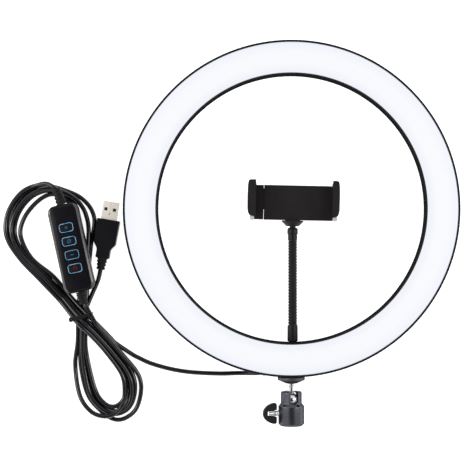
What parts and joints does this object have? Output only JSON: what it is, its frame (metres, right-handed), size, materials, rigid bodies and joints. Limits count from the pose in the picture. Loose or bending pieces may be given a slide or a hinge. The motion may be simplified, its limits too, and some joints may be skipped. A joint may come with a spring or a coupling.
{
  "type": "ring light",
  "caption": "Flat LED ring light with a slotted ball head, a gooseneck phone clamp inside the ring, and a tied cord with an in-line remote and USB plug.",
  "frame": {"origin": "centre of the light's footprint (ring, ball head and clamp, without the cord and what is on it), on the surface that its back lies on", "axes": "+Z the way the light shines, +Y from the ball head to the top of the ring, +X to the right seen from the front"},
  "size_m": [0.3553, 0.2985, 0.029],
  "materials": {
    "shell_black": "fine satin moulded plastic",
    "diffuser_white": "even milky translucent plastic, lit",
    "board_white": "solder-masked aluminium board with LEDs",
    "steel": "plain zinc-plated steel",
    "chrome": "polished",
    "brass": "turned",
    "head_black": "black anodised, satin",
    "arm_black": "ribbed satin sleeve",
    "clamp_black": "fine textured plastic",
    "grey_plastic": "satin",
    "nylon": "natural nylon",
    "rubber_black": "soft moulded",
    "remote_black": "satin face with pale worn bevels",
    "button_black": "pad with a printed pale blue outline",
    "cord_black": "smooth round jacket",
    "board_green": "solder mask",
    "plug_black": "moulded"
  },
  "bodies": {
    "ring": {"rear_shell": "shell_black", "diffuser": "diffuser_white", "led_board": "board_white", "board_screw_1": "steel", "board_screw_2": "steel", "board_screw_3": "steel", "board_screw_4": "steel", "head_insert": "brass", "arm_insert": "brass", "cable_boot": "rubber_black", "inner_lead": "cord_black", "ring_lead": "cord_black", "cord_hank": "cord_black", "twist_tie": "rubber_black", "remote_lead": "cord_black", "plug_lead": "cord_black", "remote_lower": "remote_black", "remote_face": "remote_black", "remote_board": "board_green", "remote_boot_upper": "rubber_black", "remote_boot_lower": "rubber_black", "usb_shell": "steel", "usb_tongue": "nylon", "plug_grip": "plug_black", "plug_boot": "rubber_black"},
    "stud": {"ball_stud": "chrome"},
    "cup": {"ball_cup": "nylon"},
    "head": {"head_housing": "head_black", "pressure_pad": "steel", "base_insert": "brass"},
    "disc": {"lock_disc": "head_black"},
    "knob": {"wing_knob": "shell_black", "screw_sleeve": "steel"},
    "screw": {"clamp_screw": "chrome"},
    "arm_base": {"arm_ferrule_lower": "head_black"},
    "arm_1": {"arm_link_1": "arm_black"},
    "arm_2": {"arm_link_2": "arm_black"},
    "arm_3": {"arm_link_3": "arm_black"},
    "arm_4": {"arm_link_4": "arm_black"},
    "arm_5": {"arm_link_5": "arm_black"},
    "arm_6": {"arm_link_6": "arm_black"},
    "arm_7": {"arm_link_7": "arm_black"},
    "arm_8": {"arm_link_8": "arm_black", "arm_ferrule_upper": "head_black"},
    "liner": {"socket_liner": "nylon"},
    "clamp": {"clamp_body": "clamp_black", "clamp_back_cover": "clamp_black", "jaw_pad_right": "rubber_black", "jaw_foot_right": "grey_plastic", "jaw_spring_1": "steel", "jaw_spring_2": "steel"},
    "collar": {"lock_collar": "clamp_black"},
    "jaw": {"slide_jaw": "clamp_black", "jaw_pad_left": "rubber_black", "jaw_foot_left": "grey_plastic"},
    "button_plus": {"button_plus": "button_black"},
    "button_mode": {"button_mode": "button_black"},
    "button_minus": {"button_minus": "button_black"},
    "button_power": {"button_power": "button_black"}
  },
  "joints": [
    {"name": "head_pan", "type": "hinge", "parent": "ring", "child": "stud", "pos_m": [0, -0.1289, 0.011], "axis": [0, 1, 0], "continuous": true},
    {"name": "head_tilt", "type": "hinge", "parent": "stud", "child": "cup", "pos_m": [0, -0.1289, 0.011], "axis": [-0.9613, 0, 0.2756], "range_deg": [-15, 90]},
    {"name": "head_roll", "type": "hinge", "parent": "cup", "child": "head", "pos_m": [0, -0.1289, 0.011], "axis": [0.2756, 0, 0.9613], "range_deg": [-15, 15]},
    {"name": "disc_turn", "type": "hinge", "parent": "stud", "child": "disc", "pos_m": [0, -0.1149, 0.011], "axis": [0, 1, 0], "continuous": true},
    {"name": "knob_turn", "type": "hinge", "parent": "head", "child": "knob", "pos_m": [0, -0.1392, 0.011], "axis": [-0.9613, 0, 0.2756], "range_deg": [0, 360]},
    {"name": "screw_travel", "type": "slide", "parent": "knob", "child": "screw", "axis": [-0.9613, 0, 0.2756], "range_m": [0, 0.0007]},
    {"name": "arm_turn", "type": "hinge", "parent": "ring", "child": "arm_base", "pos_m": [0.001, -0.0838, 0.011], "axis": [0, 1, 0], "continuous": true},
    {"name": "arm_bend_1", "type": "hinge", "parent": "arm_base", "child": "arm_1", "pos_m": [0.001, -0.0702, 0.011], "axis": [1, 0, 0], "range_deg": [0, 12]},
    {"name": "arm_bend_2", "type": "hinge", "parent": "arm_1", "child": "arm_2", "pos_m": [0.001, -0.06211, 0.011], "axis": [1, 0, 0], "range_deg": [0, 12]},
    {"name": "arm_bend_3", "type": "hinge", "parent": "arm_2", "child": "arm_3", "pos_m": [0.001, -0.05402, 0.011], "axis": [1, 0, 0], "range_deg": [0, 12]},
    {"name": "arm_bend_4", "type": "hinge", "parent": "arm_3", "child": "arm_4", "pos_m": [0.001, -0.04593, 0.011], "axis": [1, 0, 0], "range_deg": [0, 12]},
    {"name": "arm_bend_5", "type": "hinge", "parent": "arm_4", "child": "arm_5", "pos_m": [0.001, -0.03784, 0.011], "axis": [1, 0, 0], "range_deg": [0, 12]},
    {"name": "arm_bend_6", "type": "hinge", "parent": "arm_5", "child": "arm_6", "pos_m": [0.001, -0.02975, 0.011], "axis": [1, 0, 0], "range_deg": [0, 12]},
    {"name": "arm_bend_7", "type": "hinge", "parent": "arm_6", "child": "arm_7", "pos_m": [0.001, -0.02166, 0.011], "axis": [1, 0, 0], "range_deg": [0, 12]},
    {"name": "arm_bend_8", "type": "hinge", "parent": "arm_7", "child": "arm_8", "pos_m": [0.001, -0.01357, 0.011], "axis": [1, 0, 0], "range_deg": [0, 12]},
    {"name": "clamp_tilt", "type": "hinge", "parent": "arm_8", "child": "liner", "pos_m": [0.001, 0.011, 0.011], "axis": [0, 0, 1], "range_deg": [-15, 15]},
    {"name": "clamp_swivel", "type": "hinge", "parent": "liner", "child": "clamp", "pos_m": [0.001, 0.011, 0.011], "axis": [0.0209, 0.9998, 0], "continuous": true},
    {"name": "collar_turn", "type": "hinge", "parent": "clamp", "child": "collar", "pos_m": [0.001, 0.011, 0.011], "axis": [0.0209, 0.9998, 0], "continuous": true},
    {"name": "jaw_slide", "type": "slide", "parent": "clamp", "child": "jaw", "axis": [-0.9998, 0.0209, 0], "range_m": [0, 0.028], "stiffness_N_per_m": 150, "springref_m": -0.02, "deforming": ["jaw_spring_1", "jaw_spring_2"]},
    {"name": "button_plus_press", "type": "slide", "parent": "ring", "child": "button_plus", "axis": [0, 0, -1], "range_m": [0, 0.0006], "stiffness_N_per_m": 800, "springref_m": -0.0004},
    {"name": "button_mode_press", "type": "slide", "parent": "ring", "child": "button_mode", "axis": [0, 0, -1], "range_m": [0, 0.0006], "stiffness_N_per_m": 800, "springref_m": -0.0004},
    {"name": "button_minus_press", "type": "slide", "parent": "ring", "child": "button_minus", "axis": [0, 0, -1], "range_m": [0, 0.0006], "stiffness_N_per_m": 800, "springref_m": -0.0004},
    {"name": "button_power_press", "type": "slide", "parent": "ring", "child": "button_power", "axis": [0, 0, -1], "range_m": [0, 0.0006], "stiffness_N_per_m": 800, "springref_m": -0.0004}
  ],
  "couplings": [
    {"joint": "arm_bend_2", "follows": "arm_bend_1", "ratio": 1},
    {"joint": "arm_bend_3", "follows": "arm_bend_1", "ratio": 1},
    {"joint": "arm_bend_4", "follows": "arm_bend_1", "ratio": 1},
    {"joint": "arm_bend_5", "follows": "arm_bend_1", "ratio": 1},
    {"joint": "arm_bend_6", "follows": "arm_bend_1", "ratio": 1},
    {"joint": "arm_bend_7", "follows": "arm_bend_1", "ratio": 1},
    {"joint": "arm_bend_8", "follows": "arm_bend_1", "ratio": 1},
    {"joint": "screw_travel", "follows": "knob_turn", "m_per_rad": 0.00011141}
  ]
}
